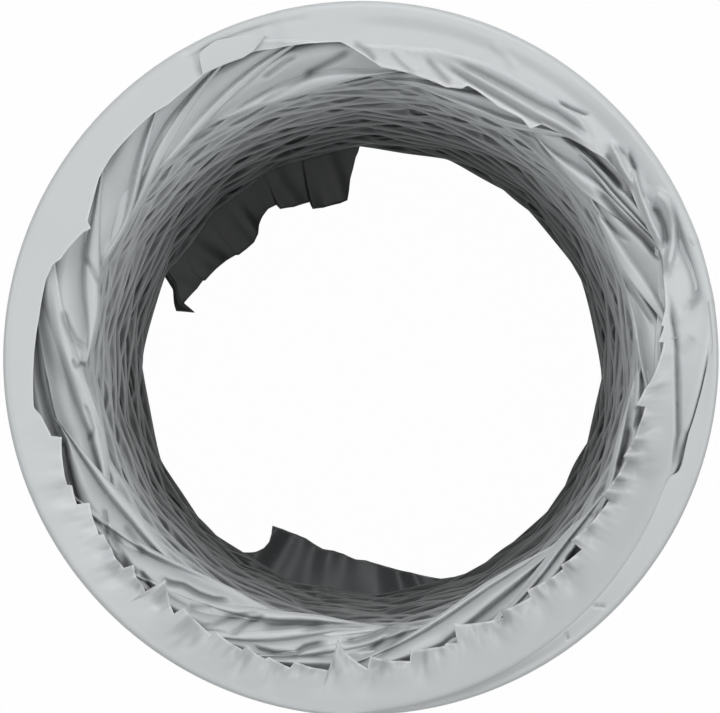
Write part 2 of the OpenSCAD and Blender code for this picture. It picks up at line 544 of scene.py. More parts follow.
def fold_section():
    """The fold from its lower seam round its tip to its upper seam.

    Returns, for each row, how far it lies outside the tip, its share of half the
    gap between the seams, and its share of the tip's own roundness.
    """
    inward = np.array([0, 0.12, 0.27, 0.42, 0.56, 0.68, 0.79, 0.88, 0.95])
    lower = PLEAT_DEPTH - (PLEAT_DEPTH - TIP_ROUND) * inward
    # more rows near the tip, where the small folds lie
    upper = np.concatenate([np.arange(0.6, 2.8, 0.2), [3.1, 3.6, 4.3], lower[4::-1]])
    bend = np.radians(np.linspace(-90, 90, 11))
    arc = TIP_ROUND * (1 - np.cos(bend))

    def spread(flank):
        return ((flank - TIP_ROUND) / (PLEAT_DEPTH - TIP_ROUND)) ** 1.3

    behind = np.concatenate([lower, arc, upper])
    parted = np.concatenate([-spread(lower), 0 * arc, spread(upper)])
    rounded = np.concatenate([-1 + 0 * lower, np.sin(bend), 1 + 0 * upper])
    return behind[:, None], parted[:, None], rounded[:, None]


# (pinches, how far outside the tip a small fold lies there, and how far at its middle)
SMALL_SWAGS = [
    (Swags((6, 15), seed=12, reach=0.3), 1.6, 0.5),
    (Swags((9, 22), seed=13, reach=0.3), 2.6, 1.0),
]


def small_folds(azimuth, behind, rounded):
    """Height of the small folds that lie on the upper side of each fold, along its tip, and their painted
    shade and painted highlight.
    """
    height, painted_shade = 0 * behind * azimuth, 0 * behind * azimuth
    for swags, pinched, hanging in SMALL_SWAGS:
        share, _, reach, _ = swags.at(azimuth + LEAN_PER_MM * behind)
        arch = np.sin(np.pi * np.clip(share, 0, 1)) ** 1.2
        line = pinched - (pinched - hanging) * arch
        strength = 0.75 + reach
        height = height + SMALL_FOLD_RISE * strength * np.exp(-((behind - line) / SMALL_FOLD_WIDTH) ** 2)
        # painted shade lies in the crevice behind the fold's ridge, and the ridge itself gets a painted
        # highlight, a little less shade
        painted_shade = painted_shade + 0.4 * strength * np.exp(-((behind - line - 0.4) / 0.24) ** 2)
        painted_shade = painted_shade - 0.55 * strength * np.exp(-((behind - line) / 0.18) ** 2)
    side = smooth(rounded, 0.2, 1)
    return height * side, painted_shade * side


def fold_dust(azimuth, low, depth_share):
    """Painted shade on a fold, for the shade between the folds behind its tip: more towards the far end and
    on the duct's -Y side, less on its -X side.
    """
    behind, _, rounded = fold_section()
    depth = 1 - low / HEM_Z
    under = np.clip(-np.sin(np.radians(azimuth)), 0, 1) ** 0.7
    open_side = np.clip(-np.cos(np.radians(azimuth)), 0, 1) * (1 - smooth(depth, 0.2, 0.6))
    # painted shade behind each tip, growing towards the far end, and less of it on the -X side near the open
    # end
    tip_shade = 1.1 * smooth(behind, -0.05, 0.6) * smooth(depth, 0, 0.7) + 0.1 * depth ** 1.5
    tip_shade = tip_shade * (1 - 0.4 * open_side)
    tip_shade = tip_shade + small_folds(azimuth, behind, rounded)[1] * (0.5 + 0.5 * depth)
    # more painted shade on the duct's -Y side, and none far from the tip
    painted_shade = (tip_shade + 0.9 * under * smooth(depth, 0.05, 0.45)) * (1 - smooth(behind, 3, 6))
    return np.clip(painted_shade, 0, 1.4) * smooth(depth_share + 0 * azimuth, 0, 0.25)


def folded_film(azimuth, swags, low, high, depth_share):
    """The film between two turns: a grid of points, rows from seam to seam and a column for each azimuth.

    azimuth is unrolled, in degrees. low and high are the heights of the two seams,
    and depth_share is the share of its full depth that the fold has.
    """
    behind, parted, rounded = fold_section()
    lean = LEAN_PER_MM * behind
    azimuth = azimuth[None, :]
    share, width, reach, drop = swags.at(azimuth + lean)
    share = np.clip(share, 0, 1)
    arch = np.sin(np.pi * share) ** 1.2
    half = np.radians(width / 2)
    chord = CHORD_SHARE * (1 - np.cos(half) / np.cos(half * (2 * share - 1)))
    # the tip moves most, and the film beside the seams keeps still
    near_tip = np.clip(1 - behind / PLEAT_DEPTH, 0, 1) ** 1.5
    tip_r = RING_R - PLEAT_DEPTH
    turned = (azimuth - SLACK_AZIMUTH + 180) % 360 - 180
    slack = SLACK_REACH * np.exp(-(turned / SLACK_SPREAD) ** 2) * (1 - low / HEM_Z)
    loose = LOOSE_WAVES * ripple(azimuth * 0.3, 0.02 * azimuth, 1.6, 9)
    inset = near_tip * (tip_r * chord + SWAG_IN * (arch - 0.6) + reach + slack + loose)
    gain = 1 + FAR_GAIN * (1 - low / HEM_Z)
    radius = RING_R - (PLEAT_DEPTH - behind) * depth_share * gain - inset * depth_share
    gap = high - low
    rise = near_tip * (SWAG_UP * (arch - 0.5) + drop) * gap / PITCH
    fine = FINE_WAVES * ripple(azimuth * 0.9, 1.3 * behind, 1.6, 5) * near_tip
    half_height = parted * (gap / 2 - TIP_ROUND * gap / PITCH) + rounded * TIP_ROUND * gap / PITCH
    # where the fold has no depth yet, the film is flat
    folded = smooth(depth_share + 0 * azimuth, 0, 0.25)
    height = low + gap / 2 + half_height + (rise + fine) * folded
    height = height + small_folds(azimuth, behind, rounded)[0] * folded
    return ring_point(radius, azimuth + 0 * radius, height)


def cut_by_heights(mesh, heights):
    """Splits a film mesh at level planes: {zone: (points, faces)}, where a zone is (turn, upper part)."""
    work = bmesh.new()
    work.from_mesh(mesh)
    for height in heights:
        geometry = work.verts[:] + work.edges[:] + work.faces[:]
        plane = (0, 0, height * MM)
        bmesh.ops.bisect_plane(work, geom=geometry, dist=1e-7, plane_co=plane, plane_no=(0, 0, 1))
    work.verts.index_update()
    painted_shade = work.verts.layers.float["painted_shade"]
    points = np.array([(*v.co, v[painted_shade]) for v in work.verts])
    faces = [[v.index for v in f.verts] for f in work.faces]
    middles = np.array([f.calc_center_median().z for f in work.faces]) / MM
    work.free()
    turn = np.floor((middles - FIRST_Z) / PITCH).astype(int) + 1
    upper = (middles - turn_z(turn)) > FOLD_CUT
    zones = {}
    for k, is_upper, face in zip(turn, upper, faces):
        zones.setdefault((int(k), bool(is_upper)), []).append(face)
    return {zone: (points, zone_faces) for zone, zone_faces in zones.items()}


def zone_heights(k):
    """Heights at which the film around turn k is cut."""
    return [turn_z(k), turn_z(k) + FOLD_CUT, turn_z(k + 1), turn_z(k + 1) + FOLD_CUT]


def film_between_turns():
    """Every fold of the film as one helical strip, cut into the zones that move alike."""
    swags = Swags((14, 29), seed=11, reach=0.16)
    zones = {}

    def add_fold(azimuth, low, high, depth_share):
        points = folded_film(azimuth, swags, low, high, depth_share)
        mesh = grid_mesh("fold", points, {"painted_shade": fold_dust(azimuth, low, depth_share)}, flip=True)
        k = int((low.min() - FIRST_Z) // PITCH) + 1
        collect(zones, mesh, max(k, 1))

    # the fold opens from nothing where the spring starts
    lead = fold_columns(SPRING_END - 360, 0)
    opening = smooth(lead, lead[0], lead[0] + 35)
    high = turn_z(1) + PITCH * climb(lead + 360)
    high[-1] = turn_z(2)
    add_fold(lead, turn_z(1) + 0 * lead, high, opening)
    near_depth, last_depth = LAST_FOLDS_DEPTH
    near_start, last_start = 360 * (BAYS - 2), 360 * (BAYS - 1)
    for k in range(1, BAYS):
        azimuth = fold_columns(360 * (k - 1), 360 * k)
        low = turn_z(k) + PITCH * climb(azimuth)
        low[-1] = turn_z(k + 1)
        depth_share = 1 - (1 - near_depth) * smooth(azimuth, near_start, near_start + 60)
        add_fold(azimuth, low, low + PITCH, depth_share)
    # under the level end of the spring the last fold's space halves
    azimuth = fold_columns(last_start, last_start + SPRING_END)
    low = turn_z(BAYS) + PITCH * climb(azimuth)
    depth_share = near_depth - (near_depth - last_depth) * smooth(azimuth, last_start, last_start + 40)
    add_fold(azimuth, low, turn_z(TURNS) + 0 * low, depth_share)
    add_sleeve(zones)
    return zones


def collect(zones, mesh, k):
    """Cuts a film mesh around turn k into its zones, and puts them with the zones' other parts."""
    for zone, part in cut_by_heights(mesh, zone_heights(k)).items():
        zones.setdefault(zone, []).append(part)
    bpy.data.meshes.remove(mesh)


def add_sleeve(zones):
    """The straight sleeve under the first turn; over its climbing quarter it reaches up to the seam."""
    azimuth = fold_columns(0, 360, 1.2)
    raised = azimuth < SPRING_END + 0.1
    top = turn_z(1) + np.where((azimuth > 180) & raised, PITCH * climb(azimuth), 0.0)
    rows = np.linspace(0, 1, 22)[:, None]
    height = rows * top
    # where it reaches up to the climbing turn it runs out to the spring's start
    out = smooth(azimuth, 215, SPRING_END - 1) * raised
    skin = SLEEVE_R - FILM_T / 2 + (RING_R - SLEEVE_R) * out * smooth(height, turn_z(1) - 3, turn_z(1))
    calm = smooth(azimuth, 0, 12) * (1 - smooth(azimuth, 348, 360))
    waves = SLEEVE_WAVES * calm * ripple(azimuth * 1.1 + 0 * height, height, 3.5, 21) * np.sin(np.pi * rows)
    points = ring_point(skin + waves, azimuth + 0 * height, height)
    # the sleeve's colour is evenly darkened by 0.3
    collect(zones, grid_mesh("sleeve", points, {"painted_shade": 0.3 + 0 * waves}), 1)


def zone_mesh(name, parts):
    """One mesh from the faces of a zone, with the strip's own joints merged."""
    points, faces, base = [], [], 0
    for all_points, zone_faces in parts:
        used, packed = np.unique(np.concatenate([np.array(f) for f in zone_faces]), return_inverse=True)
        points.append(all_points[used])
        taken = 0
        for face in zone_faces:
            faces.append((packed[taken:taken + len(face)] + base).tolist())
            taken += len(face)
        base += len(used)
    mesh = bpy.data.meshes.new(name)
    points = np.concatenate(points)
    mesh.from_pydata(points[:, :3].tolist(), [], faces)
    painted_shade = mesh.attributes.new("painted_shade", "FLOAT", "POINT")
    painted_shade.data.foreach_set("value", points[:, 3].astype(np.float32))
    work = bmesh.new()
    work.from_mesh(mesh)
    bmesh.ops.remove_doubles(work, verts=work.verts[:], dist=1e-6)
    for face in work.faces:
        face.smooth = True
    work.to_mesh(mesh)
    work.free()
    return mesh


def make_folded_film():
    """Each fold in a lower and an upper piece, and the sleeve."""
    for (k, upper), parts in sorted(film_between_turns().items()):
        if k < 1:
            name = "far_sleeve_film"
        else:
            name = f"pleat_{'upper' if upper else 'lower'}_{k:02d}"
        piece = add_object(name, zone_mesh(name, parts), pleat_film)
        if k < 1:
            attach(piece, hoop(1))
            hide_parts("far_sleeve")
        elif upper:
            start, end = turn_z(k) + FOLD_CUT, turn_z(k + 1) - HOOP_HOLD
            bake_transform(piece, fold(k), hoop(k + 1), start=(0, 0, start * MM), end=(0, 0, end * MM))
        else:
            start, end = turn_z(k) + HOOP_HOLD, turn_z(k) + FOLD_CUT
            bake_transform(piece, hoop(k), fold(k), start=(0, 0, start * MM), end=(0, 0, end * MM))
            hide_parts(f"pleat_{k:02d}")


make_folded_film()

# ---------------------------------------------------------------- film turned in at the near end
# A point below is an azimuth in degrees and a reach, from 0 at the rim to 1 at the far opening's edge,
# unless its list says otherwise.
# azimuth at which the turned-in film starts, and at which it ends one turn later
HEM_FROM, HEM_TO = 8, 368
# it steps down inside the wire, and its torn half sags
HEM_STEP = 0.35
TORN_SAG = 6.0
# its loose end steps down and sags, and the rumpled film beside that end lies lower too
LOOSE_STEP = 0.7
LOOSE_SAG = 0.8
RUMPLED_STEP = 0.7
BROAD_WAVES = 0.07
# creases that rise past the rim level off within this height
CREASE_SOFT = 0.4
# gathers deeper than the first value level off within the second
GATHER_LIMIT = 0.7
GATHER_SOFT = 0.35
# a tooth's leading side stands up by this much
TOOTH_LIFT = 0.55
# the folded-back corner: how high its outer edge lies, how much lower its fold is, and its dent in the hem
TAB_LIFT = 0.5
TAB_DROP = 0.3
TAB_DENT = 0.5
# where the outer edge of the turned-in film leaves the rim and slips inward
SLIP = [(268, 0.0), (273, 0.035), (290, 0.10), (311, 0.164), (326, 0.21), (336, 0.237), (338.5, 0.235),
        (340.3, 0.207), (342, 0.195), (347.4, 0.196), (352.7, 0.158), (357.4, 0.118), (360.5, 0.085),
        (363.6, 0.043), (368, 0.0)]
# inner edge of the turned-in film, where it is cut or torn without teeth
NEAT_EDGE = [(5, 0.48), (8, 0.463), (11, 0.40), (16, 0.36), (20, 0.31), (25, 0.337), (29.4, 0.329),
             (34, 0.295), (40, 0.307), (43, 0.346), (50, 0.41), (54, 0.44), (55.6, 0.52), (58, 0.49),
             (63, 0.50), (68, 0.455), (70, 0.445), (71, 0.48), (74, 0.50), (79, 0.475), (83, 0.455),
             (87, 0.44), (89, 0.39), (91.5, 0.33), (94, 0.27), (98, 0.26), (102, 0.25), (106, 0.235),
             (109, 0.215), (119, 0.215), (122, 0.24), (127, 0.255), (130, 0.24), (136, 0.242), (141, 0.245),
             (145, 0.265), (149, 0.315), (152.6, 0.35), (153.3, 0.395), (154.6, 0.36), (158.5, 0.31),
             (161, 0.285), (162.5, 0.245), (165.5, 0.23), (172, 0.235), (180, 0.22), (186, 0.205),
             (188, 0.20), (189.5, 0.245), (192.6, 0.285)]
# (azimuth, reach of the tip, reach of the root after it) of the torn teeth
TEETH = [(193.1, 0.371, 0.290), (202.4, 0.326, 0.297), (206.2, 0.400, 0.330), (213.0, 0.372, 0.327),
         (220.4, 0.415, 0.330), (226.4, 0.537, 0.345), (233.0, 0.450, 0.370), (240.8, 0.425, 0.375),
         (247.0, 0.435, 0.372), (251.5, 0.410, 0.368), (256.4, 0.430, 0.400), (263.5, 0.692, 0.440),
         (270.5, 0.560, 0.480), (278.7, 0.585, 0.555), (285.8, 0.587, 0.540), (288.5, 0.747, 0.590),
         (298.9, 0.670, 0.614), (306.0, 0.700, 0.620), (314.7, 0.670, 0.617), (320.2, 0.760, 0.658),
         (332.2, 0.751, 0.662), (341.6, 0.706, 0.603), (352.7, 0.702, 0.620), (356.5, 0.620, 0.455),
         (364.8, 0.520, 0.400)]


def edge_line(points, azimuth):
    """The second value of the points at a place along their first."""
    place, share = np.array(points).T
    return np.interp(azimuth, place, share)


def slipped(azimuth):
    """Reach of the turned-in film's outer edge."""
    return edge_line(SLIP, azimuth)


def torn_side(azimuth):
    """1 where the turned-in film is torn, and 0 over its neat half."""
    return smooth(azimuth, 188, 215)


def past_teeth(azimuth):
    """0 before the last teeth, and 1 after them."""
    return smooth(azimuth, 352, 366)


def torn_edge(azimuth):
    """Reach of the turned-in film: a neat half, then teeth that lean one way."""
    reach = edge_line(NEAT_EDGE, azimuth)
    for (at, tip, root), following in zip(TEETH, TEETH[1:] + [(370, 0, 0)]):
        share = (azimuth - at) / (following[0] - at)
        tooth = tip + (root - tip) * np.clip(share, 0, 1) ** 0.7
        reach = np.where((share >= 0) & (share < 1), tooth, reach)
    return reach


def stroke(azimuth, share, path, rise, width, lap):
    """Height that one crease adds to a sheet: a ridge or valley along path, or the edge of a lap."""
    here = spot(azimuth, share, HEM_Z)[..., :2]
    best = np.full(here.shape[:-1], np.inf)
    side = np.ones_like(best)
    along = np.zeros_like(best)
    corners = np.array([spot(np.float64(a), t, HEM_Z)[:2] for a, t in path])
    lengths = np.linalg.norm(np.diff(corners, axis=0), axis=1)
    gone = 0.0
    for start, end, length in zip(corners, corners[1:], lengths):
        way = (end - start) / length
        offset = here - start
        run = np.clip(offset @ way, 0, length)
        apart = np.linalg.norm(offset - run[..., None] * way, axis=-1)
        closer = apart < best
        best = np.where(closer, apart, best)
        side = np.where(closer, np.sign(way[0] * offset[..., 1] - way[1] * offset[..., 0]), side)
        along = np.where(closer, (gone + run) / lengths.sum(), along)
        gone += length
    fade = smooth(along, 0, 0.18) * smooth(1 - along, 0, 0.18)
    if not lap:
        return rise * fade * np.exp(-(best / width) ** 2)
    upper = np.exp(-np.clip(best * side, 0, None) / width) * smooth(best * side, -0.15, 0.15)
    return rise * fade * upper


# the creases rise this many times as high as they are written
CREASE_GAIN = 1.35
# (path, rise, width, whether it is the edge of a lap) of the creases in the turned-in film
HEM_CREASES = [
    # the curl where the loose end of the strip is rumpled
    ([(28.8, 0.125), (25.3, 0.109), (21.7, 0.128), (19.0, 0.137), (15.1, 0.112), (12.3, 0.111), (10.2, 0.154),
      (8.8, 0.262), (8.1, 0.322)], -0.8, 1.0, False),
    ([(28.9, 0.246), (29.4, 0.201), (29.0, 0.141), (27.4, 0.115), (25.2, 0.126), (23.0, 0.155), (20.5, 0.212),
      (18.3, 0.278), (16.0, 0.334)], 2.0, 0.75, False),
    ([(28.6, 0.225), (27.0, 0.204), (24.5, 0.203), (22.4, 0.225), (20.8, 0.264)], -1.0, 0.6, False),
    ([(35.8, 0.176), (33.7, 0.223), (30.6, 0.265), (26.5, 0.293), (23.1, 0.294),
      (20.6, 0.291)], 1.8, 0.6, False),
    ([(38.5, 0.13), (36.0, 0.165), (34.0, 0.20), (31.5, 0.238), (29.3, 0.255)], -0.8, 0.4, False),
    ([(20.9, 0.058), (16.9, 0.043), (13.0, 0.03), (10.3, 0.03)], 0.3, 0.7, False),
    ([(19.9, 0.075), (16.3, 0.06), (12.5, 0.052), (10.1, 0.055)], -0.4, 0.4, False),
    # long folds between the curl and the fold line
    ([(41.0, 0.251), (39.9, 0.281), (36.1, 0.303), (32.6, 0.301)], -0.8, 0.6, False),
    ([(42.0, 0.20), (40.0, 0.223), (37.5, 0.253), (34.6, 0.268), (32.2, 0.281)], 1.2, 0.6, False),
    ([(41.0, 0.215), (39.2, 0.19), (37.4, 0.178), (34.6, 0.18)], -0.4, 0.5, False),
    # sweeping swags under the fold line
    ([(53.5, 0.25), (50.5, 0.222), (48.5, 0.195), (47.0, 0.17)], -0.8, 0.32, False),
    ([(37.0, 0.335), (41.0, 0.309), (44.0, 0.29), (46.6, 0.256), (48.5, 0.236), (53.3, 0.25), (66, 0.262),
      (76, 0.275), (94, 0.28)], 0.7, 1.6, True),
    ([(43.6, 0.289), (46.0, 0.29), (49.3, 0.30), (52.8, 0.31), (56.0, 0.339), (62, 0.345), (69, 0.335),
      (76, 0.30)], -0.8, 0.8, False),
    ([(42.2, 0.312), (46.6, 0.339), (51.2, 0.368), (55.2, 0.395), (61, 0.40), (68, 0.375),
      (75, 0.32)], 0.8, 0.7, False),
    ([(45, 0.355), (50, 0.40), (57, 0.44), (66, 0.425), (74, 0.37), (78, 0.32)], -0.7, 0.6, False),
    ([(73, 0.49), (76, 0.42), (79, 0.33)], -0.6, 0.6, False),
    ([(80, 0.45), (83, 0.38), (85, 0.31)], 0.5, 0.6, False),
    ([(88, 0.42), (89.5, 0.34), (92, 0.28)], -0.6, 0.6, False),
    # fold towards the turned-back corner, and short creases beside it
    ([(97, 0.265), (104, 0.20), (110, 0.125), (114, 0.07)], 0.5, 1.2, True),
    ([(62, 0.20), (65, 0.15), (68, 0.12)], 0.25, 0.7, False),
    ([(98, 0.085), (105, 0.08), (111, 0.07)], -0.15, 0.6, False),
    # crease inside the slot
    ([(-21.4, 0.24), (-17.8, 0.251), (-12.7, 0.281), (-2.4, 0.347), (2.2, 0.353), (4.8, 0.352), (8.0, 0.359),
      (10.5, 0.352), (14.2, 0.357)], -0.9, 0.45, False),
    ([(2.2, 0.353), (3.0, 0.261), (4.1, 0.198)], -0.3, 1.1, False),
    ([(8.0, 0.365), (8.7, 0.257), (9.2, 0.156), (11.9, 0.106)], 0.35, 1.3, False),
]


def wrapped(azimuth, first):
    """The azimuth in the one turn that starts at first."""
    return np.mod(azimuth - first, 360) + first


def creased(azimuth, share, path, rise, width, lap):
    """A stroke whose path may run past 0 or 360 degrees."""
    turned = (azimuth - path[0][0] + 180) % 360 - 180 + path[0][0]
    return stroke(turned, share, path, rise, width, lap)


def crease_dust(azimuth, share):
    """Painted shade in the valleys of the turned-in film's creases."""
    total = 0 * share
    for path, rise, width, lap in HEM_CREASES:
        if rise < 0:
            # each valley's depth is painted as shade
            total = total - creased(azimuth, share, path, rise, width, lap)
    return np.clip(0.75 * total, 0, 0.75)


def hem_height(azimuth, share):
    """Height of the turned-in film: flat on the wire, and sagging towards its torn edge."""
    torn = torn_side(azimuth) * (1 - past_teeth(azimuth))
    loose = past_teeth(azimuth) + (azimuth < 60) * (1 - smooth(azimuth, 40, 60))
    rumpled = smooth(azimuth, 8, 14) * (1 - smooth(azimuth, 82, 94))
    reach = np.clip(share - slipped(azimuth), 0, 1)
    height = RIM_TOP - HEM_STEP * smooth(reach, 0.05, 0.25) - torn * TORN_SAG * reach ** 1.5
    height = height - loose * (LOOSE_STEP * smooth(reach, 0.02, 0.12) + LOOSE_SAG * reach)
    height = height - RUMPLED_STEP * rumpled * smooth(reach, 0.09, 0.17)
    for crease in HEM_CREASES:
        height = height + CREASE_GAIN * creased(azimuth, share, *crease)
    # the turned-back corner presses a dent
    pressed = smooth(azimuth, 103, 105.5) * (1 - smooth(azimuth, 119, 121))
    height = height - TAB_DENT * pressed * smooth(share, 0.03, 0.08)
    place = spot(azimuth, share, HEM_Z)
    broad = ripple(place[..., 0], place[..., 1], 4.5, 8)
    height = height + BROAD_WAVES * broad * smooth(reach, 0.03, 0.12)
    return height + torn * gathered(azimuth, share)


def gathered(azimuth, share):
    """Short gathers that run down to the torn edge, and the lifted leading side of each tooth."""
    line = edge_line(NEAT_EDGE + [(at, (tip + root) / 2) for at, tip, root in TEETH], azimuth)
    folds = 1.4 * ripple(azimuth, 3 * share, 0.48, 3) * smooth(share, line - 0.17, line)
    height = folds + 1.1 * ripple(azimuth, 2 * share, 0.75, 4) * smooth(share, line - 0.38, line - 0.06)
    height = height + 0.25 * ripple(azimuth, share, 0.3, 13) * smooth(share, line - 0.3, line - 0.05)
    tips = np.array([at for at, tip, root in TEETH])
    past = azimuth[..., None] - tips
    past = np.where(past < 0, 99, past).min(axis=-1)
    # a gather stays above the film that hangs beneath it
    deep = np.clip(-height - GATHER_LIMIT, 0, None)
    height = np.maximum(height, -GATHER_LIMIT) - GATHER_SOFT * np.tanh(deep / GATHER_SOFT)
    return height + TOOTH_LIFT * np.exp(-past / 1.4) * smooth(share, line - 0.1, line + 0.02)


def limited(height):
    """Keeps the creases of the turned-in film just above the wire that carries it."""
    over = np.clip(height - RIM_TOP, 0, None)
    return np.minimum(height, RIM_TOP) + CREASE_SOFT * np.tanh(over / CREASE_SOFT)


def rim_bend(start, rows):
    """The film's round edge, from an angle below level to its top: reach and drop of each row."""
    bend = np.radians(np.linspace(start, 90, rows))[:, None]
    return (1 - np.cos(bend)) * RIM_ROUND / REACH_MM, RIM_ROUND * (1 - np.sin(bend))


def near_hem_film():
    """The film turned in over the last turn, from its round edge to where it is cut or torn."""
    azimuth = np.linspace(HEM_FROM, HEM_TO, 1100)
    rim_reach, rim_drop = rim_bend(-20, 7)
    rim_share = slipped(azimuth) + rim_reach
    start = rim_share[-1]
    share = start + (torn_edge(azimuth) - start) * np.linspace(0.03, 1, 32)[:, None]
    height = limited(hem_height(np.broadcast_to(azimuth, share.shape), share))
    rim_height = RIM_TOP - rim_drop + 0 * rim_share + (height[0] - RIM_TOP)
    shares = np.concatenate([rim_share, share])
    azimuths = np.broadcast_to(azimuth, shares.shape)
    points = over_hem(azimuths, shares, np.concatenate([rim_height, height]))
    points[:, -1] = points[:, 0]
    torn = np.zeros_like(shares)
    torn[-1] = 1
    torn[-2] = 0.5
    # painted shade over the sagging torn side of the turned-in film
    sagging_side_shade = smooth(azimuths, 212, 245) * (1 - smooth(azimuths, 345, 366))
    gathers = np.clip(-gathered(azimuths, shares), 0, 1.5) * torn_side(azimuths)
    painted_shade = crease_dust(azimuths, shares) + 0.26 * sagging_side_shade * smooth(shares, 0, 0.1)
    # painted shade in the valleys of the gathers
    painted_shade = painted_shade + 0.3 * gathers * (1 - past_teeth(azimuths))
    return welded(grid_mesh("near_hem_film", points, {"torn": torn, "painted_shade": painted_shade}, flip=True))


# short creases across the strip beside the slipped edge
STRIP_CRACKS = [[(306.3, 0.07), (306.9, 0.15)], [(314.6, 0.08), (313.2, 0.18)]]


def outer_strip_film():
    """The last turn's film beside the slipped edge, climbing with its seam."""
    azimuth = np.linspace(262, 369, 380)
    rim_reach, rim_drop = rim_bend(-40, 8)
    top = turn_z(TURNS - 1) + PITCH * climb(np.clip(azimuth, 181, 359.9)) + SEAM_R + 0.25
    # the first of it is tucked under the rim
    rim_share = rim_reach + 0 * azimuth + 0.03 * (1 - smooth(azimuth, 262, 269))
    gap = smooth(azimuth, 338.5, 341)
    narrow = 0.002 + 0.014 * (1 - smooth(azimuth, 341, 346))
    inner = np.maximum(slipped(azimuth) + 0.05 * (1 - gap) - narrow * gap, 0.03)
    inner = np.maximum(inner, rim_share[-1] + 0.01)
    flat = np.linspace(0.05, 1, 14)[:, None]
    share = rim_share[-1] + (inner - rim_share[-1]) * flat
    height = top + (RIM_TOP - 0.25 - top) * smooth(flat, 0.0, 0.9)
    for path in STRIP_CRACKS:
        height = height + stroke(azimuth + 0 * share, share, path, -0.7, 0.3, False)
    shares = np.concatenate([rim_share, share])
    heights = np.concatenate([top - rim_drop, height])
    points = over_hem(np.broadcast_to(azimuth, shares.shape), shares, heights)
    # the strip's colour is evenly darkened by 0.1
    return grid_mesh("outer_strip_film", points, {"painted_shade": 0.1 + 0 * shares}, flip=True)


def make_outer_strip():
    """The strip in two pieces: its outer edge goes down with the seam beside it."""
    cut = turn_z(BAYS) + FOLD_CUT
    low, high = turn_z(BAYS) + HOOP_HOLD, turn_z(TURNS) - HOOP_HOLD
    zones = cut_by_heights(outer_strip_film(), [cut])
    lower = zones.pop((BAYS, False))
    for name, parts, bodies, start, end in (
        ("outer_strip_lower", [lower], (hoop(BAYS), fold(BAYS)), low, cut),
        ("outer_strip_upper", list(zones.values()), (fold(BAYS), hoop(TURNS)), cut, high),
    ):
        strip = add_object(name, zone_mesh(name, parts), hem_film)
        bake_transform(strip, *bodies, start=(0, 0, start * MM), end=(0, 0, end * MM))


# the torn corner that is folded back over the rim: its outer edge, and the fold that it turns on
TAB_OUTER = [(106.4, 0.145), (108.5, 0.115), (111.5, 0.085), (114.5, 0.061), (116.5, 0.072), (117.8, 0.085),
             (118.3, 0.12)]
TAB_FOLD = [(106.6, 0.15), (108.2, 0.185), (109.4, 0.215), (111.5, 0.232), (114, 0.226), (117, 0.221),
            (119.1, 0.219)]


def near_tab_film():
    """The folded-back corner, lifted most along its outer edge."""
    outer, turned = np.array(TAB_OUTER), np.array(TAB_FOLD)
    place = np.arange(len(outer))
    steps = np.linspace(0, len(outer) - 1, 60)
    way = np.linspace(0, 1, 26)[:, None]

    def between(column):
        start = np.interp(steps, place, outer[:, column])
        return start + (np.interp(steps, place, turned[:, column]) - start) * way

    azimuth, share = between(0), between(1)
    lift = TAB_LIFT - TAB_DROP * way ** 2 + 0.05 * ripple(azimuth, 30 * share, 2.0, 61)
    torn = np.zeros_like(share)
    torn[0] = 1
    torn[:, -1] = 1
    points = over_hem(azimuth, share, RIM_TOP + lift - 0.05)
    return grid_mesh("near_tab_film", points, {"torn": torn}, flip=True)


# where the hanging film starts, out of sight under the turned-in film
SHELF = [(8, 0.30), (20, 0.26), (45, 0.33), (60, 0.40), (82, 0.36), (94, 0.20), (120, 0.16), (160, 0.16),
         (168, 0.19), (172, 0.225), (177.2, 0.273), (183.2, 0.324), (189.2, 0.351), (193.7, 0.374),
         (199.4, 0.34), (206, 0.27), (250, 0.32), (290, 0.47), (320, 0.54), (350, 0.48), (368, 0.30)]
# each swag runs on this many degrees, tucked under the next one
PETAL_TUCK = 9
# the hanging film starts this far below the rim, and lower on the torn side
LINING_DROP = 2.3
TORN_SIDE_DROP = 1.3
# it falls with each millimetre inward, a little more the further in it is
LINING_FALL = 0.27
LINING_CURVE = 0.005
# along a swag it falls too, and its tucked end lies under the next swag
END_DROP = 3.4
TUCK_DROP = 3.2
# height of a swag's own folds, and how many there are
PETAL_FOLD = 2.7
PETAL_FOLDS = (2.6, 3.8)
# (start, reach at the start, bottom, its reach, end, reach at the end) of the hanging swags
PETALS = [
    (344, 0.40, 366, 0.72, 381, 0.69),
    (4, 0.34, 24, 0.69, 41, 0.57),
    (20, 0.30, 42, 0.635, 56, 0.53),
    (21, 0.29, 36, 0.47, 51, 0.43),
    (45, 0.33, 63, 0.625, 81, 0.55),
    (78, 0.42, 106, 0.60, 122, 0.54),
    (100, 0.22, 132, 0.565, 140, 0.52),
    (114, 0.20, 146, 0.61, 154, 0.60),
    (128, 0.22, 150, 0.62, 158, 0.59),
    (142, 0.23, 169, 0.665, 180, 0.60),
    (160, 0.22, 193, 0.695, 209, 0.52),
    (190, 0.36, 214, 0.72, 225, 0.70),
    (203, 0.28, 239, 0.84, 248, 0.835),
    (219, 0.31, 259, 0.915, 272, 0.86),
    (238, 0.36, 264, 0.86, 274, 0.84),
    (248, 0.36, 277, 0.82, 284, 0.78),
    (262, 0.38, 300, 0.995, 318, 0.86),
    (292, 0.55, 317, 0.85, 335, 0.72),
    (318, 0.58, 344, 0.82, 362, 0.70),
]
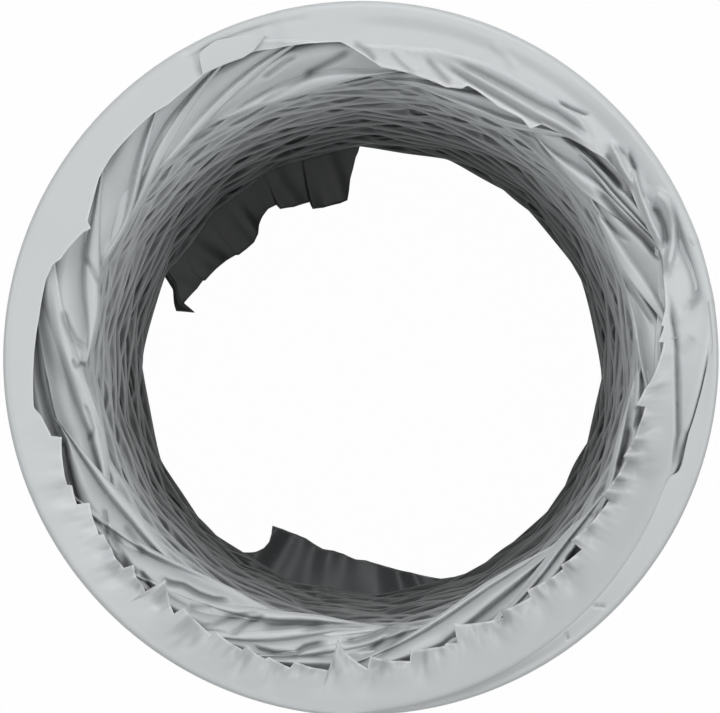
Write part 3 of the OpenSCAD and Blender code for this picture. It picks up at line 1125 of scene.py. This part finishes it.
# (path, painted shade, width) of the creases and pockets between the hanging swags: each sinks the film and
# is painted darker as shade
LINING_CREASES = [
    ([(110, 0.41), (107, 0.375), (104, 0.33), (102, 0.315)], 0.6, 0.45),
    ([(102.5, 0.455), (99, 0.425), (95.5, 0.385), (92, 0.33)], 0.8, 0.6),
    ([(112, 0.55), (107, 0.52), (103, 0.485), (99.5, 0.455)], 0.4, 0.6),
    ([(78.5, 0.48), (76, 0.485), (73, 0.485)], 0.9, 0.35),
    ([(158, 0.415), (159.5, 0.465), (160.5, 0.535), (162, 0.605), (165, 0.645)], 0.5, 0.5),
    ([(169.5, 0.38), (172, 0.435), (174.5, 0.505), (176, 0.595)], 0.5, 0.7),
    ([(178, 0.495), (179.5, 0.525), (179, 0.565), (179.5, 0.62)], 0.6, 0.4),
    ([(186.5, 0.555), (189, 0.59), (192, 0.60), (195, 0.555)], 0.55, 0.45),
    ([(193, 0.38), (197.5, 0.355), (201, 0.34), (204.5, 0.325), (208.5, 0.30)], 1.0, 0.45),
    ([(208, 0.485), (212, 0.415), (215.5, 0.335)], 0.6, 0.4),
    ([(212, 0.45), (216, 0.41), (219, 0.385), (222, 0.325)], 0.6, 0.8),
    ([(212.5, 0.555), (214.5, 0.555), (218.5, 0.54), (220.5, 0.535)], 0.5, 0.6),
    ([(222, 0.42), (224.5, 0.41), (228.5, 0.36)], 0.8, 0.4),
    ([(225, 0.50), (227.5, 0.525), (229.5, 0.585), (233, 0.61), (236, 0.65), (239.5, 0.735)], 1.0, 0.5),
    ([(226, 0.38), (228, 0.36), (231.5, 0.335)], 1.0, 0.4),
    ([(233.5, 0.46), (235, 0.505), (237, 0.59)], 0.4, 0.7),
    ([(238, 0.38), (239.5, 0.48), (241, 0.585), (243.5, 0.69), (246.5, 0.775)], 0.6, 0.5),
    ([(243, 0.445), (244, 0.53), (244.5, 0.61), (247, 0.76)], 0.6, 0.5),
    ([(247, 0.63), (251, 0.715), (254, 0.78), (258, 0.805), (261, 0.815)], 0.5, 0.8),
    ([(247, 0.455), (249.5, 0.44), (252.5, 0.455), (256, 0.495), (257.5, 0.58), (262, 0.675)], 0.9, 0.5),
    ([(255, 0.705), (258, 0.775), (262.5, 0.815), (266.5, 0.845), (270, 0.865)], 0.5, 0.7),
    ([(264, 0.68), (267.5, 0.705), (271, 0.755), (275, 0.84), (279, 0.885)], 0.8, 0.5),
    ([(270, 0.555), (271.5, 0.66), (274.5, 0.765), (278, 0.825)], 0.5, 0.5),
    ([(272, 0.565), (274.5, 0.64), (277.5, 0.75), (280, 0.845)], 0.4, 0.6),
    ([(316, 0.65), (319, 0.635), (322, 0.64)], 0.9, 0.6),
    ([(326.5, 0.74), (329.5, 0.675), (331.5, 0.665)], 0.5, 0.5),
    ([(338, 0.705), (340.5, 0.715), (344.5, 0.71), (348.5, 0.715)], 0.8, 0.5),
    ([(347, 0.66), (350.5, 0.655), (353, 0.695)], 0.6, 0.6),
    ([(357, 0.65), (363, 0.695), (367.5, 0.705)], 0.5, 0.3),
    ([(39, 0.525), (35, 0.505), (31, 0.485), (27.5, 0.445), (24.5, 0.40), (21, 0.36),
      (18.5, 0.325)], 1.1, 0.7),
    ([(50, 0.42), (46.5, 0.395), (43, 0.365), (39.5, 0.37), (36, 0.365), (33, 0.365)], 1.0, 0.6),
    ([(38, 0.64), (35, 0.625), (31, 0.59), (27.5, 0.55), (25, 0.505)], 0.5, 0.4),
    ([(22, 0.685), (17.5, 0.65), (12, 0.58), (7.5, 0.505)], 0.6, 0.3),
]
# a flat piece of film at the bottom of the hollow beside the longest swag, and how much lower it lies
POCKET = (150, 0.17, 188, 0.42, 200, 0.40)
POCKET_SUNK = 3.0


def petal_folds(index, u, v):
    """Folds that fan out from the end where a swag is gathered: their profile, 0 to 1, and their height."""
    count = np.random.default_rng(100 + index).uniform(*PETAL_FOLDS)
    fan = (1 - u) / (1 - u + 0.8 * v + 0.02)
    sway = 0.42 * ripple(3 * u + 0 * v, 2 * v + 0 * u, 0.6, 300 + index)
    saw = np.mod(count * (1 - fan) + sway + 0.1, 1.0)
    lapped = np.where(saw < 0.8, smooth(saw, 0, 0.8), 1 - smooth(saw, 0.8, 1))
    profile = 0.5 * lapped + 0.5 * np.sin(np.pi * saw) ** 0.75
    strength = PETAL_FOLD * np.sin(np.pi * np.clip(u, 0.03, 0.97)) ** 0.5 * smooth(v, 0.0, 0.25)
    return profile, strength * (0.75 + 0.25 * ripple(4 * u + 0 * v, 3 * v + 0 * u, 1.1, 400 + index))


def petal_edge(petal, azimuth, tucked):
    """Reach of a swag's lower edge, which falls to its bottom and climbs back to its end."""
    start, start_share, low, low_share, end, end_share = petal
    fall = np.clip((azimuth - start) / (low - start), 0, 1)
    climb_back = np.clip((azimuth - low) / (end - low), 0, None)
    falling = low_share - (low_share - start_share) * (1 - fall) ** 1.6
    climbing = low_share - (low_share - end_share) * climb_back ** 2 / (1 + 0.6 * tucked)
    return np.where(azimuth < low, falling, climbing)


def petal_mesh(index, petal):
    """A hanging swag of film, from its lower edge up to the hem. It is gathered at its end."""
    start, start_share, _, _, end, _ = petal
    u = np.linspace(0, 1, 150)[None, :]
    v = np.linspace(0, 1, 46)[:, None]
    azimuth_edge = start + (end + PETAL_TUCK - start) * u
    azimuth = azimuth_edge + 0 * v
    tucked = smooth(azimuth_edge, end - 2, end + 6)
    edge = petal_edge(petal, azimuth_edge, tucked)
    shelf = start_share if petal is POCKET else edge_line(SHELF, wrapped(azimuth_edge, HEM_FROM))
    shelf = np.minimum(shelf, edge - 0.03)
    share = edge + (shelf - edge) * v
    profile, strength = petal_folds(index, u, v)
    top_side = np.clip(np.sin(np.radians(azimuth_edge)), 0, 1)
    # painted shade in the valleys of each swag's folds and along its top beneath the hem
    painted_shade = 0.85 * (1 - profile) ** 1.5 * smooth(v, 0.03, 0.25) + 0.6 * smooth(v, 0.7, 0.95)
    # less painted shade on the duct's +Y side, where the swags are painted lighter as if lit
    painted_shade = painted_shade * (1 - 0.7 * top_side)
    hang = (share - shelf) * REACH_MM
    around = wrapped(azimuth_edge, 60)
    low_side = (smooth(around, 190, 225) + 0.4 * smooth(around, 265, 300)) * (1 - smooth(around, 345, 385))
    height = RIM_TOP - LINING_DROP - TORN_SIDE_DROP * low_side - LINING_FALL * hang - LINING_CURVE * hang ** 2
    height = height + strength * (profile - 0.7) + 0.8 - END_DROP * u ** 1.2 - TUCK_DROP * tucked
    height = height - (1.2 + 1.6 * torn_side(azimuth_edge)) * smooth(v, 0.6, 1)
    height = height + 0.25 * ripple(azimuth_edge + 9 * v, 26 * share, 2.6, 200 + index)
    height = height + 0.6 * ripple(0.5 * azimuth_edge + 5 * v, 13 * share, 2.2, 500 + index)
    if petal is POCKET:
        height = height - POCKET_SUNK
    for path, shade, width in LINING_CREASES:
        crease = creased(azimuth, share, path, shade, width, False)
        height = height - 1.2 * crease
        # each crease also paints shade into the film
        painted_shade = painted_shade + crease
    # the lower edge curls under
    under = np.clip(0.12 - v, 0, 0.12) / 0.12
    height = height - 0.9 * under ** 2
    share = share - 0.018 * smooth(under, 0.4, 1)
    points = spot(azimuth, share, height)
    return grid_mesh(f"near_lining_{index:02d}", points, {"painted_shade": np.clip(painted_shade, 0, 1.35)})


def make_near_end():
    """Everything that the last turn carries inside its rim."""
    hem = add_object("near_hem_film", near_hem_film(), hem_film)
    tab = add_object("near_tab_film", near_tab_film(), hem_film)
    for piece in (hem, tab):
        thicken(piece)
        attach(piece, hoop(TURNS))
    make_outer_strip()
    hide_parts("near_tab")
    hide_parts("near_hem")
    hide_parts("near_tail")
    for index, petal in enumerate(PETALS + [POCKET], 1):
        piece = add_object(f"near_lining_{index:02d}", petal_mesh(index, petal), pleat_film)
        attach(piece, hoop(TURNS))


make_near_end()

# ---------------------------------------------------------------- torn film at the far end
# inner edges of the two flaps
FLAP_LEFT = [(98.6, 1.311), (100.9, 1.323), (106.2, 1.325), (109.6, 1.311), (109.9, 1.262), (114.7, 1.253),
             (118.6, 1.225), (118.9, 1.19), (121.5, 1.186), (124.0, 1.209), (125.9, 1.238), (127.6, 1.283),
             (130.1, 1.31), (132.9, 1.31), (136.1, 1.302), (136.8, 1.288), (139.6, 1.268), (143.5, 1.248),
             (148.4, 1.23), (148.8, 1.217), (151.7, 1.21), (157.1, 1.172), (157.9, 1.268), (160.0, 1.144)]
FLAP_RIGHT = [(232.4, 1.447), (235.5, 1.475), (240.5, 1.50), (244.0, 1.508), (247.5, 1.492), (251.0, 1.479),
              (254.5, 1.493), (258.0, 1.486), (262.7, 1.455), (266.0, 1.456), (270.4, 1.423), (274.1, 1.388),
              (280.5, 1.317), (285.9, 1.23), (288.8, 1.184), (292, 1.16), (296, 1.10)]
# the flaps' side edges: reach, then azimuth there
SIDES_LEFT = ([(0.82, 91), (1.0, 93.4), (1.039, 94.3), (1.117, 95.5), (1.175, 96.6), (1.253, 97.6),
               (1.311, 98.6)],
              [(0.82, 151), (1.0, 154), (1.07, 155.4), (1.115, 158.6), (1.144, 160.0)])
SIDES_RIGHT = ([(0.82, 224), (1.05, 226), (1.092, 228.8), (1.102, 231.7), (1.129, 233.1), (1.18, 234.8),
                (1.251, 235.7), (1.321, 235.5), (1.388, 234.1), (1.447, 232.4)],
               [(0.82, 296), (1.10, 296)])
# reach at which the flaps hang from the first seam, how far below the solid flaps they start, and their sag
FLAP_ROOT = 0.82
FLAP_GAP = 0.4
FLAP_SAG = 2.6
# (node, inner edge, side edges, painted shade, height of the creases, seed)
FLAPS = [
    ("far_flap_left", FLAP_LEFT, SIDES_LEFT, 1.15, 0.45, 31),
    ("far_flap_right", FLAP_RIGHT, SIDES_RIGHT, 0.6, 2.0, 41),
]


def far_flap_film(name, edge_points, sides, shade, folds, seed):
    """Torn film that hangs from the first seam into the bore, with creases that run inward."""
    azimuth = np.linspace(edge_points[0][0], edge_points[-1][0], 260)
    edge = edge_line(edge_points, azimuth)
    way = np.linspace(0, 1, 30)[:, None]
    share = FLAP_ROOT + (edge - FLAP_ROOT) * way
    turned = azimuth + 0 * share
    for side, at in zip(sides, (azimuth[0], azimuth[-1])):
        # the film beside a side edge follows it
        near = np.exp(-np.abs(azimuth - at) / 12)
        turned = turned + (edge_line(side, share) - at) * near
    creases = folds * ripple(turned + 4 * way, 0 * share, 2.4, seed)
    creases = creases + 0.4 * folds * ripple(turned, 5 * way, 1.1, seed + 1)
    height = FLAP_Z - FLAP_GAP - FLAP_SAG * way ** 1.5 + creases * (0.25 + 0.75 * way)
    points = spot(turned, share, height)
    torn = np.zeros_like(share)
    torn[-1] = 1
    # the flap's film is evenly darkened with painted shade
    return grid_mesh(name, points, {"torn": torn, "painted_shade": shade + 0 * share}, flip=True)


for node, *flap_shape in FLAPS:
    flap = add_object(f"{node}_film", far_flap_film(f"{node}_film", *flap_shape), flap_film)
    thicken(flap)
    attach(flap, hoop(1))
    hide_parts(node)

# ---------------------------------------------------------------- camera, light, floor
SENSOR_W = 36
AIM_BELOW_HEM = 0.6
target = Vector((0, 0, (HEM_Z - AIM_BELOW_HEM) * MM))
towards = Vector((SLANT_X, -SLANT_Y, 1)).normalized()
camera_data = bpy.data.cameras.new("camera")
camera_data.sensor_width = SENSOR_W
camera_data.lens = SENSOR_W * FOCAL_PX / IMAGE_W
camera_data.clip_start = 0.01
camera = bpy.data.objects.new("camera", camera_data)
camera.location = target + towards * VIEW_DISTANCE * MM
# +X of the duct points right in the view
right = Vector((0, 1, 0)).cross(towards).normalized()
camera.rotation_euler = Matrix((right, towards.cross(right), towards)).transposed().to_euler()
bpy.context.scene.collection.objects.link(camera)
bpy.context.scene.camera = camera


def white_to_camera(tree, share):
    """share where the camera, a gloss ray or a glass ray looks, and 0 for the light that is thrown."""
    path = tree.nodes.new("ShaderNodeLightPath").outputs
    seen = math_node(tree, "MAXIMUM", path["Is Camera Ray"], path["Is Glossy Ray"])
    seen = math_node(tree, "MAXIMUM", seen, path["Is Transmission Ray"])
    return math_node(tree, "MULTIPLY", seen, share)


world = bpy.data.worlds.new("studio")
bpy.context.scene.world = world
world.use_nodes = True
glare = mapped(world.node_tree, white_to_camera(world.node_tree, 1.0), 0.1, 1.0)
feed(world.node_tree, world.node_tree.nodes["Background"], {"Color": (1, 1, 1, 1), "Strength": glare})


def floor_material():
    """Dark and matt, but white to the camera."""
    material = bpy.data.materials.new("floor")
    material.use_nodes = True
    tree = material.node_tree
    matt = feed(tree, tree.nodes["Principled BSDF"], {"Base Color": (0.06, 0.06, 0.06, 1), "Roughness": 0.9})
    glow = make_node(tree, "ShaderNodeEmission", {"Strength": 1.06})
    mixed = make_node(tree, "ShaderNodeMixShader", {
        "Fac": white_to_camera(tree, 0.93), 1: matt.outputs["BSDF"], 2: glow.outputs["Emission"],
    })
    feed(tree, tree.nodes["Material Output"], {"Surface": mixed.outputs["Shader"]})
    return material


FLOOR_HALF_M = 3.0
FLOOR_DROP_M = 0.0005
floor_corners = [(x * FLOOR_HALF_M, y * FLOOR_HALF_M, 0) for x, y in ((-1, -1), (1, -1), (1, 1), (-1, 1))]
floor_mesh = bpy.data.meshes.new("floor")
floor_mesh.from_pydata(floor_corners, [], [(0, 1, 2, 3)])
floor = add_object("floor", floor_mesh, floor_material())
floor.location.z = -FLOOR_DROP_M

LAMP_SIZE_M = 0.7
LAMP_DISTANCE_M = 1.2


def softbox(name, azimuth, zenith, power):
    """A round lamp that faces the open end from the side, so that little light falls down the bore."""
    data = bpy.data.lights.new(name, "AREA")
    data.shape = "DISK"
    data.size = LAMP_SIZE_M
    data.energy = power
    lamp = bpy.data.objects.new(name, data)
    side, up = math.sin(math.radians(zenith)), math.cos(math.radians(zenith))
    turned = math.radians(azimuth)
    offset = Vector((side * math.cos(turned), side * math.sin(turned), up))
    lamp.location = Vector((0, 0, HEM_Z * MM)) + offset * LAMP_DISTANCE_M
    lamp.rotation_euler = offset.to_track_quat("Z", "Y").to_euler()
    bpy.context.scene.collection.objects.link(lamp)


# azimuth and angle from the duct's axis, in degrees, and watts
softbox("key", 85, 50, 6.4)
softbox("right fill", 0, 52, 5.2)
softbox("left fill", 172, 55, 3.9)
softbox("lower fill", 265, 60, 3.6)
softbox("front fill", 90, 6, 1.3)

bpy.context.scene.view_settings.view_transform = "Standard"
